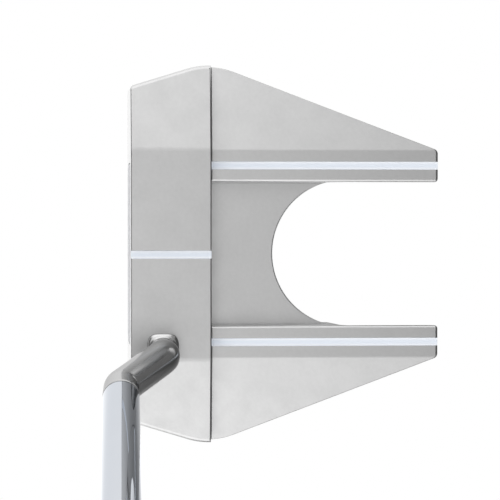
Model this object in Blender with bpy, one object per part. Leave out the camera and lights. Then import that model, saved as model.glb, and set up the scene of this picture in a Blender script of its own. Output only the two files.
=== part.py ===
"""Mallet putter in metres: +Z up, -Y towards the target, +X towards the golfer (heel side).

The origin is the middle of the face block's flat sole, on the ground. The head is two machined
aluminium pieces, a lofted face block and a rear frame with a ball-width cut-out. A bent steel
neck carries a stepped steel shaft, which slips over the neck's spigot, and a pistol grip.
"""

import math

import bmesh
import bpy
from mathutils import Matrix, Vector

MM = 0.001

# Fits between neighbouring pieces
GAP = 0.3 * MM
THIN_GAP = 0.15 * MM
OVERCUT = 2.0 * MM

# Head plan
FACE_TOP_Y = -11.7 * MM
BAR_REAR_Y = 12.25 * MM
REAR_END_Y = 81.0 * MM
WIDEST_Y = 12.3 * MM
WIDEST_HALF = 57.65 * MM
WIDEST_RADIUS = 22.0 * MM
FRONT_FLARE = math.radians(17.2)
CREASE_X = 31.2 * MM
REAR_TAPER = math.atan((WIDEST_HALF - CREASE_X) / (REAR_END_Y - WIDEST_Y))
BALL_RADIUS = 21.6 * MM
BALL_CENTRE_Y = 53.8 * MM
BALL_DRAFT = math.radians(3.3)

# Head heights
BAR_TOP_Z = 27.0 * MM
RAIL_TOP_Z = 18.6 * MM
FLOOR_TOP_Z = 10.0 * MM
CROWN_FALL = math.radians(10.0)
LOFT = math.radians(2.0)
SOLE_RISE = math.radians(2.5)
SOLE_RISE_Y = 30.0 * MM
EDGE_BEVEL = 0.8 * MM

# Lightening pockets under the wings
POCKET_X = 33.0 * MM
POCKET_Y = 31.0 * MM
POCKET_WIDTH = 16.0 * MM
POCKET_LENGTH = 28.0 * MM
POCKET_DEPTH = 9.0 * MM
POCKET_CORNER = 4.0 * MM

# Alignment lines
LINE_WIDTH = 2.3 * MM
LINE_DEPTH = 0.65 * MM
LINE_FILL = 0.4 * MM
RAIL_LINE_X = 26.57 * MM

# Face insert
INSERT_WIDTH = 54.0 * MM
INSERT_HEIGHT = 19.0 * MM
INSERT_THICKNESS = 3.6 * MM
INSERT_CORNER = 4.0 * MM
INSERT_CENTRE_Z = 13.9 * MM
TAPE_THICKNESS = 0.3 * MM

# Sole plate and its screws
PLATE_WIDTH = 48.0 * MM
PLATE_FRONT_Y = -6.0 * MM
PLATE_REAR_Y = 3.0 * MM
PLATE_THICKNESS = 5.0 * MM
PLATE_SCREW_X = (-20.0 * MM, -8.0 * MM, 8.0 * MM, 20.0 * MM)

# Tongue that laps under the face block, and its screws
TONGUE_WIDTH = 60.0 * MM
TONGUE_FRONT_Y = 5.2 * MM
TONGUE_THICKNESS = 4.0 * MM
TONGUE_SCREW_X = (-24.0 * MM, -8.0 * MM, 8.0 * MM, 24.0 * MM)

# Screw-in sole weights
WEIGHT_X = 42.0 * MM
WEIGHT_Y = -1.5 * MM
WEIGHT_RADIUS = 7.7 * MM
WEIGHT_HEAD = 5.0 * MM
WEIGHT_STEM_RADIUS = 4.5 * MM
WEIGHT_STEM = 7.4 * MM
WASHER_THICKNESS = 0.8 * MM

# Neck
NECK_BASE = Vector((28.6, -2.2, 27.0)) * MM
NECK_BEND = Vector((28.6, -2.4, 47.0)) * MM
NECK_RADIUS = 4.55 * MM
NECK_FLANGE_RADIUS = 5.3 * MM
TENON_RADIUS = 4.0 * MM
TENON_LENGTH = 13.0 * MM
SPIGOT_LENGTH = 25.0 * MM

# Shaft axis, with the rim where the shaft meets the collar
LIE = math.radians(71.0)
RIM_CENTRE = Vector((37.7, -14.6, 76.0)) * MM
AXIS = Vector((math.cos(LIE), 0.0, math.sin(LIE)))
THUMB_SIDE = Vector((-math.sin(LIE), 0.0, math.cos(LIE)))
COLLAR_LENGTH = 6.6 * MM
CLUB_LENGTH = 864.0 * MM
SHAFT_TIP_RADIUS = 5.1 * MM
SHAFT_WALL = 0.5 * MM
STEP_COUNT = 9
STEP_HEIGHT = 0.25 * MM
STEP_START = 200.0 * MM
STEP_PITCH = 34.0 * MM
STEP_CONE = 2.0 * MM

# Grip
GRIP_LENGTH = 264.0 * MM
CAP_THICKNESS = 3.0 * MM
VENT_RADIUS = 1.2 * MM
GRIP_TAPE_THICKNESS = 0.3 * MM

ROUND = 24
FINE_ROUND = 48


# ---------------------------------------------------------------- helpers


def clear_scene():
    for old in list(bpy.data.objects):
        bpy.data.objects.remove(old, do_unlink=True)


def material(name, colour, roughness, metallic):
    mat = bpy.data.materials.new(name)
    mat.use_nodes = True
    shader = mat.node_tree.nodes["Principled BSDF"]
    shader.inputs["Base Color"].default_value = (*colour, 1.0)
    shader.inputs["Roughness"].default_value = roughness
    shader.inputs["Metallic"].default_value = metallic
    mat.diffuse_color = (*colour, 1.0)
    return mat


def add_object(name, bm, mat=None, smooth=False):
    """Turn a bmesh into an object with outward normals; a piece without a material is a cutter."""
    bmesh.ops.recalc_face_normals(bm, faces=bm.faces)
    mesh = bpy.data.meshes.new(name)
    bm.to_mesh(mesh)
    bm.free()
    piece = bpy.data.objects.new(name, mesh)
    bpy.context.scene.collection.objects.link(piece)
    if mat is None:
        piece.hide_render = True
        piece.display_type = "WIRE"
    else:
        mesh.materials.append(mat)
    if smooth:
        mesh.shade_smooth()
        mesh.set_sharp_from_angle(angle=math.radians(35.0))
    return piece


def boolean(target, tool, operation="DIFFERENCE"):
    modifier = target.modifiers.new(tool.name, "BOOLEAN")
    modifier.operation = operation
    modifier.solver = "EXACT"
    modifier.object = tool


def bevel_edges(target, width):
    modifier = target.modifiers.new("edge_bevel", "BEVEL")
    modifier.width = width
    modifier.segments = 2
    modifier.limit_method = "ANGLE"
    modifier.angle_limit = math.radians(30.0)


def bridge_rings(bm, rings, closed):
    """Skin a list of equal vertex rings; a closed list makes a tube wall, an open one gets caps."""
    count = len(rings[0])
    pairs = list(zip(rings, rings[1:]))
    if closed:
        pairs.append((rings[-1], rings[0]))
    for lower, upper in pairs:
        for i in range(count):
            j = (i + 1) % count
            bm.faces.new((lower[i], lower[j], upper[j], upper[i]))
    if not closed:
        bm.faces.new(rings[0])
        bm.faces.new(rings[-1])


def axis_frame(origin, direction, sideways):
    """Matrix whose Z is direction and whose X is as near to sideways as it can be."""
    z = direction.normalized()
    x = (sideways - z * sideways.dot(z)).normalized()
    rotation = Matrix((x, z.cross(x), z)).transposed().to_4x4()
    return Matrix.Translation(origin) @ rotation


def turned(name, profile, mat=None, frame=Matrix(), segments=ROUND, closed=False):
    """Turn (radius, height) pairs about the frame's Z; a radius may be a function of the angle."""
    bm = bmesh.new()
    rings = []
    for radius, height in profile:
        ring = []
        for i in range(segments):
            angle = math.tau * i / segments
            r = radius(angle) if callable(radius) else radius
            ring.append(bm.verts.new((r * math.cos(angle), r * math.sin(angle), height)))
        rings.append(ring)
    bridge_rings(bm, rings, closed)
    piece = add_object(name, bm, mat, smooth=True)
    piece.matrix_world = frame
    return piece


def prism(name, outline, low, high, mat=None):
    """Extrude a flat (x, y) outline from z = low to z = high."""
    bm = bmesh.new()
    base = bm.faces.new([bm.verts.new((x, y, low)) for x, y in outline])
    raised = bmesh.ops.extrude_face_region(bm, geom=[base])
    lifted = [item for item in raised["geom"] if isinstance(item, bmesh.types.BMVert)]
    bmesh.ops.translate(bm, verts=lifted, vec=(0.0, 0.0, high - low))
    return add_object(name, bm, mat)


def rectangle(x0, x1, y0, y1):
    return [(x0, y0), (x1, y0), (x1, y1), (x0, y1)]


def rounded_rectangle(width, height, radius, steps=4):
    points = []
    for quarter in range(4):
        sx = 1.0 if quarter in (0, 3) else -1.0
        sy = 1.0 if quarter in (0, 1) else -1.0
        for i in range(steps + 1):
            angle = math.radians(90.0) * (quarter + i / steps)
            x = sx * (width / 2 - radius) + radius * math.cos(angle)
            y = sy * (height / 2 - radius) + radius * math.sin(angle)
            points.append((x, y))
    return points


def hexagon(apothem):
    """Radius of a hexagonal socket as a function of the angle."""

    def radius(angle):
        sector = math.radians(60.0)
        return apothem / math.cos((angle % sector) - sector / 2)

    return radius


# ---------------------------------------------------------------- head plan and crown


def corner_arc():
    """Centre and tangent points of the rounding at the head's widest place."""
    forward = Vector((math.sin(FRONT_FLARE), math.cos(FRONT_FLARE)))
    backward = Vector((-math.sin(REAR_TAPER), math.cos(REAR_TAPER)))
    apex = Vector((WIDEST_HALF, WIDEST_Y))
    tangent = WIDEST_RADIUS * math.tan((FRONT_FLARE + REAR_TAPER) / 2)
    start = apex - forward * tangent
    end = apex + backward * tangent
    inward = Vector((-forward.y, forward.x))
    return start + inward * WIDEST_RADIUS, start, end


ARC_CENTRE, ARC_START, ARC_END = corner_arc()


def half_width(y):
    if y < ARC_START.y:
        return WIDEST_HALF - (WIDEST_Y - y) * math.tan(FRONT_FLARE)
    if y > ARC_END.y:
        return WIDEST_HALF - (y - WIDEST_Y) * math.tan(REAR_TAPER)
    return ARC_CENTRE.x + math.sqrt(WIDEST_RADIUS**2 - (y - ARC_CENTRE.y) ** 2)


def between(start, end, count):
    return [start + (end - start) * i / count for i in range(count + 1)]


def crown(plateau_z, x):
    return plateau_z - max(0.0, abs(x) - CREASE_X) * math.tan(CROWN_FALL)


def face_y(z):
    """The lofted face plane: it leans back from the leading edge to the top line."""
    return FACE_TOP_Y - (BAR_TOP_Z - z) * math.tan(LOFT)


def crowned_block(name, front_y, stations, plateau_z, mat):
    """A block with the head's outline, a flat plateau and two falling shoulders.

    front_y gives the front wall's y at a height; stations are the y values behind the front corners.
    Where the outline has come in to the crease, their two corners are merged.
    """
    bm = bmesh.new()
    sides = {}
    for side in (1.0, -1.0):
        top_x = half_width(front_y(crown(plateau_z, WIDEST_HALF)))
        top_z = crown(plateau_z, top_x)
        low = [bm.verts.new((side * half_width(front_y(0.0)), front_y(0.0), 0.0))]
        high = [bm.verts.new((side * top_x, front_y(top_z), top_z))]
        for y in stations:
            x = half_width(y)
            low.append(bm.verts.new((side * x, y, 0.0)))
            high.append(bm.verts.new((side * x, y, crown(plateau_z, x))))
        crease = [
            bm.verts.new((side * CREASE_X, front_y(plateau_z), plateau_z)),
            bm.verts.new((side * CREASE_X, stations[-1], plateau_z)),
        ]
        sides[side] = (low, high, crease)
        for i in range(len(low) - 1):
            bm.faces.new((low[i], low[i + 1], high[i + 1], high[i]))
        bm.faces.new([crease[0], *high, crease[1]])
    heel_low, heel_high, heel_crease = sides[1.0]
    toe_low, toe_high, toe_crease = sides[-1.0]
    bm.faces.new((heel_crease[0], heel_crease[1], toe_crease[1], toe_crease[0]))
    bm.faces.new([*heel_low, *reversed(toe_low)])
    for end in (0, -1):
        bm.faces.new(
            (heel_low[end], heel_high[end], heel_crease[end], toe_crease[end], toe_high[end], toe_low[end])
        )
    bmesh.ops.remove_doubles(bm, verts=bm.verts, dist=THIN_GAP)
    block = add_object(name, bm, mat)
    bevel_edges(block, EDGE_BEVEL)
    return block


# ---------------------------------------------------------------- head


def face_frame(depth):
    """Frame in the face plane at the insert's middle: X along the face, Z out of it."""
    outward = Vector((0.0, -math.cos(LOFT), math.sin(LOFT)))
    middle = Vector((0.0, face_y(INSERT_CENTRE_Z), INSERT_CENTRE_Z))
    return axis_frame(middle - outward * depth, outward, Vector((1.0, 0.0, 0.0)))


def slab(name, frame, width, height, corner, thickness, mat=None):
    piece = prism(name, rounded_rectangle(width, height, corner), 0.0, thickness, mat)
    piece.matrix_world = frame
    return piece


def build_insert(steel_body, polymer, adhesive):
    pocket_depth = INSERT_THICKNESS + THIN_GAP + TAPE_THICKNESS + THIN_GAP
    pocket = slab(
        "insert_pocket",
        face_frame(pocket_depth),
        INSERT_WIDTH + 2 * GAP,
        INSERT_HEIGHT + 2 * GAP,
        INSERT_CORNER + GAP,
        pocket_depth + OVERCUT,
    )
    boolean(steel_body, pocket)
    slab(
        "face_insert",
        face_frame(INSERT_THICKNESS),
        INSERT_WIDTH,
        INSERT_HEIGHT,
        INSERT_CORNER,
        INSERT_THICKNESS,
        polymer,
    )
    slab(
        "insert_tape",
        face_frame(INSERT_THICKNESS + THIN_GAP + TAPE_THICKNESS),
        INSERT_WIDTH - 2 * MM,
        INSERT_HEIGHT - 2 * MM,
        INSERT_CORNER - MM,
        TAPE_THICKNESS,
        adhesive,
    )


def line_fill(name, body, x, y0, y1, top_z, paint):
    """Cut a groove through the body's top and lay a strip of paint in it."""
    half = LINE_WIDTH / 2
    groove = prism(
        name + "_groove",
        rectangle(x - half, x + half, y0 - OVERCUT, y1 + OVERCUT),
        top_z - LINE_DEPTH,
        top_z + OVERCUT,
    )
    boolean(body, groove)
    floor_z = top_z - LINE_DEPTH + THIN_GAP
    half -= THIN_GAP
    prism(name, rectangle(x - half, x + half, y0, y1), floor_z, floor_z + LINE_FILL, paint)


def cap_screw(name, frame, head_radius, head_height, shank_radius, shank_length, mat):
    """Flat-headed screw with a hexagonal socket. The frame's Z points from the head to the tip."""
    socket = hexagon(head_radius * 0.48)
    socket_depth = head_height * 0.6
    profile = [
        (socket, socket_depth),
        (socket, 0.0),
        (head_radius * 0.94, 0.0),
        (head_radius, head_radius * 0.06),
        (head_radius, head_height),
        (shank_radius, head_height),
        (shank_radius, head_height + shank_length - shank_radius * 0.3),
        (shank_radius * 0.7, head_height + shank_length),
    ]
    return turned(name, profile, mat, frame)


def stepped_hole(name, frame, profile):
    """Cutter for a counterbored hole that opens at the frame's origin."""
    return turned(name, [(profile[0][0], -OVERCUT), *profile], frame=frame)


def upward(x, y, z=0.0):
    return Matrix.Translation((x, y, z))


def build_sole_plate(front_body, steel, screw_steel):
    pocket = prism(
        "plate_pocket",
        rectangle(
            -PLATE_WIDTH / 2 - GAP,
            PLATE_WIDTH / 2 + GAP,
            PLATE_FRONT_Y - GAP,
            PLATE_REAR_Y + GAP,
        ),
        -OVERCUT,
        PLATE_THICKNESS + GAP,
    )
    boolean(front_body, pocket)
    plate = prism(
        "sole_plate",
        rectangle(-PLATE_WIDTH / 2, PLATE_WIDTH / 2, PLATE_FRONT_Y, PLATE_REAR_Y),
        0.0,
        PLATE_THICKNESS,
        steel,
    )
    head_radius = 2.4 * MM
    head_height = 1.6 * MM
    shank_radius = 1.25 * MM
    shank_length = 7.0 * MM
    y = (PLATE_FRONT_Y + PLATE_REAR_Y) / 2
    for number, x in enumerate(PLATE_SCREW_X, start=1):
        seat = 2 * GAP + head_height
        hole = stepped_hole(
            f"plate_hole_{number}",
            upward(x, y),
            [
                (head_radius + GAP, seat),
                (shank_radius + GAP, seat),
                (shank_radius + GAP, GAP + head_height + shank_length + GAP),
            ],
        )
        boolean(plate, hole)
        boolean(front_body, hole)
        cap_screw(
            f"sole_plate_screw_{number}",
            upward(x, y, GAP),
            head_radius,
            head_height,
            shank_radius,
            shank_length,
            screw_steel,
        )


def build_tongue(front_body, rear_frame, screw_steel):
    """The rear frame's tongue laps under the face block and is clamped by four screws."""
    half = TONGUE_WIDTH / 2
    tongue = prism(
        "tongue",
        rectangle(-half, half, TONGUE_FRONT_Y, BAR_REAR_Y + 6 * MM),
        0.0,
        TONGUE_THICKNESS,
    )
    boolean(rear_frame, tongue, "UNION")
    recess = prism(
        "tongue_recess",
        rectangle(-half - GAP, half + GAP, TONGUE_FRONT_Y - GAP, BAR_REAR_Y + OVERCUT),
        -OVERCUT,
        TONGUE_THICKNESS + GAP,
    )
    boolean(front_body, recess)
    head_radius = 2.75 * MM
    head_height = 2.0 * MM
    shank_radius = 1.5 * MM
    shank_length = 9.0 * MM
    y = (TONGUE_FRONT_Y + BAR_REAR_Y) / 2
    for number, x in enumerate(TONGUE_SCREW_X, start=1):
        seat = 2 * GAP + head_height
        hole = stepped_hole(
            f"tongue_hole_{number}",
            upward(x, y),
            [
                (head_radius + GAP, seat),
                (shank_radius + GAP, seat),
                (shank_radius + GAP, GAP + head_height + shank_length + GAP),
            ],
        )
        boolean(rear_frame, hole)
        boolean(front_body, hole)
        cap_screw(
            f"frame_screw_{number}",
            upward(x, y, GAP),
            head_radius,
            head_height,
            shank_radius,
            shank_length,
            screw_steel,
        )


def build_weight(end, side, front_body, tungsten, soft):
    """A screw-in sole weight and its washer, on a vertical axis near one end of the face block."""
    x = side * WEIGHT_X
    shoulder = GAP + WEIGHT_HEAD + GAP + WASHER_THICKNESS + GAP
    pocket = stepped_hole(
        f"weight_pocket_{end}",
        upward(x, WEIGHT_Y),
        [
            (WEIGHT_RADIUS + GAP, shoulder),
            (WEIGHT_STEM_RADIUS + GAP, shoulder),
            (WEIGHT_STEM_RADIUS + GAP, GAP + WEIGHT_HEAD + WEIGHT_STEM + GAP),
        ],
    )
    boolean(front_body, pocket)
    cap_screw(
        f"weight_{end}",
        upward(x, WEIGHT_Y, GAP),
        WEIGHT_RADIUS,
        WEIGHT_HEAD,
        WEIGHT_STEM_RADIUS,
        WEIGHT_STEM,
        tungsten,
    )
    low = GAP + WEIGHT_HEAD + GAP
    high = low + WASHER_THICKNESS
    inner = WEIGHT_STEM_RADIUS + GAP
    outer = WEIGHT_RADIUS - GAP
    profile = [(inner, low), (outer, low), (outer, high), (inner, high)]
    turned(f"weight_washer_{end}", profile, soft, upward(x, WEIGHT_Y), closed=True)


def build_front_body(aluminium):
    stations = [ARC_START.y, *between(ARC_START.y, BAR_REAR_Y, 3)[1:]]
    return crowned_block("front_body", face_y, stations, BAR_TOP_Z, aluminium)


def ball_cutter():
    """The ball-width cut-out: a half circle open to the rear, a little wider at the sole."""
    bm = bmesh.new()
    steps = FINE_ROUND // 2
    rings = []
    for z in (-OVERCUT, RAIL_TOP_Z + OVERCUT):
        radius = BALL_RADIUS + (RAIL_TOP_Z - z) * math.tan(BALL_DRAFT)
        ring = [bm.verts.new((radius, REAR_END_Y + OVERCUT, z))]
        for i in range(steps + 1):
            angle = -math.pi * i / steps
            ring.append(bm.verts.new((radius * math.cos(angle), BALL_CENTRE_Y + radius * math.sin(angle), z)))
        ring.append(bm.verts.new((-radius, REAR_END_Y + OVERCUT, z)))
        rings.append(ring)
    bridge_rings(bm, rings, closed=False)
    return add_object("ball_cut_out", bm)


def build_rear_frame(aluminium):
    front = BAR_REAR_Y + GAP
    stations = [*between(front, ARC_END.y, 3)[1:], REAR_END_Y]
    frame = crowned_block("rear_frame", lambda z: front, stations, RAIL_TOP_Z, aluminium)

    channel = prism(
        "channel",
        rectangle(-BALL_RADIUS, BALL_RADIUS, front - OVERCUT, BALL_CENTRE_Y + OVERCUT),
        FLOOR_TOP_Z,
        RAIL_TOP_Z + OVERCUT,
    )
    boolean(frame, channel)

    boolean(frame, ball_cutter())

    length = REAR_END_Y - SOLE_RISE_Y + 2 * OVERCUT
    relief = prism("sole_relief", rectangle(-WIDEST_HALF, WIDEST_HALF, 0.0, length), -10 * MM, 0.0)
    relief.matrix_world = Matrix.Translation((0.0, SOLE_RISE_Y, 0.0)) @ Matrix.Rotation(SOLE_RISE, 4, "X")
    boolean(frame, relief)

    for end, side in (("toe", -1.0), ("heel", 1.0)):
        outline = rounded_rectangle(POCKET_WIDTH, POCKET_LENGTH, POCKET_CORNER)
        pocket = prism(f"wing_pocket_{end}", outline, -OVERCUT, POCKET_DEPTH)
        pocket.location = (side * POCKET_X, POCKET_Y, 0.0)
        boolean(frame, pocket)
    return frame


# ---------------------------------------------------------------- neck, shaft and grip


def mitre_rings(bm, path, segments):
    """Rings of a pipe with mitred bends. path is a list of (point, radius); repeated points make steps."""
    directions = []
    for (a, _), (b, _) in zip(path, path[1:]):
        directions.append((b - a).normalized() if (b - a).length > 1e-9 else None)
    for i, direction in enumerate(directions):
        if direction is None:
            directions[i] = directions[i - 1]
    side = Vector((0.0, 1.0, 0.0))
    rings = []
    for i, (point, radius) in enumerate(path):
        before = directions[max(i - 1, 0)]
        after = directions[min(i, len(directions) - 1)]
        normal = (before + after).normalized()
        side = (side - before * side.dot(before)).normalized()
        other = before.cross(side)
        ring = []
        for k in range(segments):
            angle = math.tau * k / segments
            offset = (side * math.cos(angle) + other * math.sin(angle)) * radius
            offset -= before * (offset.dot(normal) / before.dot(normal))
            ring.append(bm.verts.new(point + offset))
        rings.append(ring)
        side = before.rotation_difference(after) @ side
    return rings


def build_hosel(front_body, steel, screw_steel):
    shoulder = NECK_BASE + Vector((0.0, 0.0, GAP))
    tenon_end = shoulder - Vector((0.0, 0.0, TENON_LENGTH))
    collar = RIM_CENTRE - AXIS * COLLAR_LENGTH
    spigot_radius = SHAFT_TIP_RADIUS - SHAFT_WALL - GAP
    path = [
        (tenon_end, TENON_RADIUS),
        (shoulder, TENON_RADIUS),
        (shoulder, NECK_FLANGE_RADIUS),
        (shoulder + Vector((0.0, 0.0, 1.2 * MM)), NECK_RADIUS),
        (NECK_BEND, NECK_RADIUS),
        (collar, SHAFT_TIP_RADIUS - GAP / 2),
        (RIM_CENTRE - AXIS * MM, SHAFT_TIP_RADIUS),
        (RIM_CENTRE, SHAFT_TIP_RADIUS),
        (RIM_CENTRE, spigot_radius),
        (RIM_CENTRE + AXIS * (SPIGOT_LENGTH - MM), spigot_radius),
        (RIM_CENTRE + AXIS * SPIGOT_LENGTH, spigot_radius - MM),
    ]
    bm = bmesh.new()
    bridge_rings(bm, mitre_rings(bm, path, ROUND), closed=False)
    hosel = add_object("hosel", bm, steel, smooth=True)

    foot = upward(NECK_BASE.x, NECK_BASE.y)
    socket_floor = tenon_end.z - GAP
    socket = turned(
        "neck_socket",
        [(TENON_RADIUS + GAP, socket_floor), (TENON_RADIUS + GAP, BAR_TOP_Z + OVERCUT)],
        frame=foot,
    )
    boolean(front_body, socket)

    head_radius = 2.75 * MM
    head_height = 2.5 * MM
    shank_radius = 1.5 * MM
    head_z = 6.0 * MM
    tip_z = tenon_end.z + 8.0 * MM
    counterbore = stepped_hole(
        "hosel_screw_hole",
        foot,
        [
            (head_radius + GAP, head_z + head_height + GAP),
            (shank_radius + GAP, head_z + head_height + GAP),
            (shank_radius + GAP, tip_z + GAP),
        ],
    )
    boolean(front_body, counterbore)
    boolean(hosel, counterbore)
    cap_screw(
        "hosel_screw",
        upward(NECK_BASE.x, NECK_BASE.y, head_z),
        head_radius,
        head_height,
        shank_radius,
        tip_z - head_z - head_height,
        screw_steel,
    )


def ground_to_rim():
    """Distance along the shaft's axis from the ground to the rim."""
    return RIM_CENTRE.z / AXIS.z


def shaft_radius_steps():
    """(radius, distance from the tip) pairs of the stepped outside, without the butt end."""
    radius = SHAFT_TIP_RADIUS
    steps = [(radius, GAP)]
    for i in range(STEP_COUNT):
        start = STEP_START + i * STEP_PITCH
        steps.append((radius, start))
        radius += STEP_HEIGHT
        steps.append((radius, start + STEP_CONE))
    return steps


def build_shaft(chrome):
    butt = CLUB_LENGTH - ground_to_rim() - CAP_THICKNESS - GAP
    outside = shaft_radius_steps()
    outside.append((outside[-1][0], butt))
    inside = [(radius - SHAFT_WALL, height) for radius, height in reversed(outside)]
    frame = axis_frame(RIM_CENTRE, AXIS, THUMB_SIDE)
    turned("shaft", outside + inside, chrome, frame, closed=True)
    return butt, outside[-1][0]


def smooth_step(t):
    t = min(max(t, 0.0), 1.0)
    return t * t * (3.0 - 2.0 * t)


def grip_section(t):
    """Half width, thumb-side height and palm-side depth of the grip, t from mouth (0) to butt (1)."""
    width = 9.6 * MM + 3.6 * MM * smooth_step(t / 0.75)
    thumb = 9.4 * MM + 1.0 * MM * smooth_step(t / 0.6)
    palm = 9.6 * MM + 2.4 * MM * smooth_step(t / 0.6)
    palm += 7.0 * MM * smooth_step((t - 0.55) / 0.3)
    palm -= 2.5 * MM * smooth_step((t - 0.88) / 0.12)
    return width, thumb, palm


def grip_ring(bm, t, height, segments, shrink=0.0):
    """One ring of the grip: round on the palm side, flattened on the thumb side (+X of the frame)."""
    width, thumb, palm = grip_section(t)
    flat = thumb - shrink
    rounded = (thumb + 1.8 * MM) - shrink
    ring = []
    for i in range(segments):
        angle = math.tau * i / segments
        reach = rounded if math.cos(angle) > 0.0 else palm - shrink
        x = min(reach * math.cos(angle), flat)
        y = (width - shrink) * math.sin(angle)
        ring.append(bm.verts.new((x, y, height)))
    return ring


def round_ring(bm, radius, height, segments):
    ring = []
    for i in range(segments):
        angle = math.tau * i / segments
        ring.append(bm.verts.new((radius * math.cos(angle), radius * math.sin(angle), height)))
    return ring


def build_grip(butt, shaft_radius, rubber, cap_rubber, adhesive):
    frame = axis_frame(RIM_CENTRE, AXIS, THUMB_SIDE)
    mouth = butt - GRIP_LENGTH
    segments = 28

    tape_inner = shaft_radius + THIN_GAP
    tape_outer = tape_inner + GRIP_TAPE_THICKNESS
    tape_profile = [
        (tape_inner, mouth + 5 * MM),
        (tape_outer, mouth + 5 * MM),
        (tape_outer, butt - 3 * MM),
        (tape_inner, butt - 3 * MM),
    ]
    turned("grip_tape", tape_profile, adhesive, frame, segments=segments, closed=True)

    bore = tape_outer + THIN_GAP
    bm = bmesh.new()
    rings = [round_ring(bm, bore, mouth, segments)]
    rings.append(grip_ring(bm, 0.0, mouth, segments, shrink=0.8 * MM))
    rings.append(grip_ring(bm, 0.0, mouth + 1.5 * MM, segments))
    count = 14
    for i in range(1, count):
        t = i / count
        rings.append(grip_ring(bm, t, mouth + t * GRIP_LENGTH, segments))
    rings.append(grip_ring(bm, 1.0, butt - 2 * MM, segments))
    rings.append(grip_ring(bm, 1.0, butt, segments, shrink=1.0 * MM))
    rings.append(round_ring(bm, bore, butt, segments))
    bridge_rings(bm, rings, closed=True)
    grip = add_object("grip", bm, rubber, smooth=True)
    grip.matrix_world = frame

    bm = bmesh.new()
    top = butt + GAP + CAP_THICKNESS
    rings = [
        round_ring(bm, VENT_RADIUS, butt + GAP, segments),
        grip_ring(bm, 1.0, butt + GAP, segments, shrink=1.2 * MM),
        grip_ring(bm, 1.0, top - 1.4 * MM, segments, shrink=1.6 * MM),
        grip_ring(bm, 1.0, top, segments, shrink=4.0 * MM),
        round_ring(bm, VENT_RADIUS, top, segments),
    ]
    bridge_rings(bm, rings, closed=True)
    cap = add_object("grip_cap", bm, cap_rubber, smooth=True)
    cap.matrix_world = frame


# ---------------------------------------------------------------- assembly


def main():
    clear_scene()
    aluminium = material("satin_aluminium", (0.74, 0.73, 0.72), 0.34, 1.0)
    steel = material("satin_steel", (0.50, 0.48, 0.46), 0.30, 1.0)
    bright_steel = material("bright_steel", (0.66, 0.66, 0.66), 0.25, 1.0)
    screw_steel = material("screw_steel", (0.35, 0.35, 0.36), 0.35, 1.0)
    chrome = material("chrome", (0.86, 0.87, 0.89), 0.05, 1.0)
    tungsten = material("weight_metal", (0.42, 0.42, 0.43), 0.35, 1.0)
    paint = material("line_paint", (0.86, 0.89, 0.96), 0.45, 0.0)
    polymer = material("insert_polymer", (0.80, 0.81, 0.83), 0.45, 0.0)
    adhesive = material("adhesive_tape", (0.72, 0.66, 0.50), 0.70, 0.0)
    soft = material("washer_polymer", (0.06, 0.06, 0.06), 0.55, 0.0)
    rubber = material("grip_rubber", (0.025, 0.025, 0.028), 0.70, 0.0)
    cap_rubber = material("cap_rubber", (0.04, 0.04, 0.04), 0.60, 0.0)

    front_body = build_front_body(aluminium)
    rear_frame = build_rear_frame(aluminium)
    build_insert(front_body, polymer, adhesive)
    build_sole_plate(front_body, bright_steel, screw_steel)
    build_tongue(front_body, rear_frame, screw_steel)
    build_weight("toe", -1.0, front_body, tungsten, soft)
    build_weight("heel", 1.0, front_body, tungsten, soft)
    build_hosel(front_body, steel, screw_steel)

    centre_y0 = FACE_TOP_Y + EDGE_BEVEL
    line_fill("centre_line_fill", front_body, 0.0, centre_y0, BAR_REAR_Y - EDGE_BEVEL, BAR_TOP_Z, paint)
    rail_y0 = BAR_REAR_Y + GAP + EDGE_BEVEL
    for end, side in (("toe", -1.0), ("heel", 1.0)):
        name = f"{end}_line_fill"
        line_fill(name, rear_frame, side * RAIL_LINE_X, rail_y0, REAR_END_Y - EDGE_BEVEL, RAIL_TOP_Z, paint)

    butt, shaft_radius = build_shaft(chrome)
    build_grip(butt, shaft_radius, rubber, cap_rubber, adhesive)


main()
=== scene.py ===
"""Looks of the mallet putter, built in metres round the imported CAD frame.

+Z is up, -Y faces the target and +X points to the golfer. The main sizes repeat the CAD's; the edge
roundings, the relief cut and the neck's blends are only here.
"""

import math

import bmesh
import bpy
from mathutils import Euler, Matrix, Vector


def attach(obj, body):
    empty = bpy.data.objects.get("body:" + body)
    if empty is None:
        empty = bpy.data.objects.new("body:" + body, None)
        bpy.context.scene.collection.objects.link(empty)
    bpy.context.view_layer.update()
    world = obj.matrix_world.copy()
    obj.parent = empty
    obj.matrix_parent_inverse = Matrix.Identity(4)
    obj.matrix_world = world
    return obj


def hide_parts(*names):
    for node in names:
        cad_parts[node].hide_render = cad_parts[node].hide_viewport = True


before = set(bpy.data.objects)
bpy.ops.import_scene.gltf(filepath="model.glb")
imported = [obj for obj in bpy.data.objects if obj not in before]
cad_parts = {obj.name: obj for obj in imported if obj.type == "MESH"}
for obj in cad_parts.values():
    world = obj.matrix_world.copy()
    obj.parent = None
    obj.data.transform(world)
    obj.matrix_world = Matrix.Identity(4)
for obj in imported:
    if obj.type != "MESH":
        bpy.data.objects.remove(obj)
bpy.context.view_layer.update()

MM = 0.001
# How far a cutter reaches past the surface that it opens
OVER = 2.0 * MM
# Clearance between fitted bodies
FIT = 0.3 * MM
# Parallel faces of bodies that are joined stay this far apart, so that none coincide
HAIR = 0.02 * MM

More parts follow.
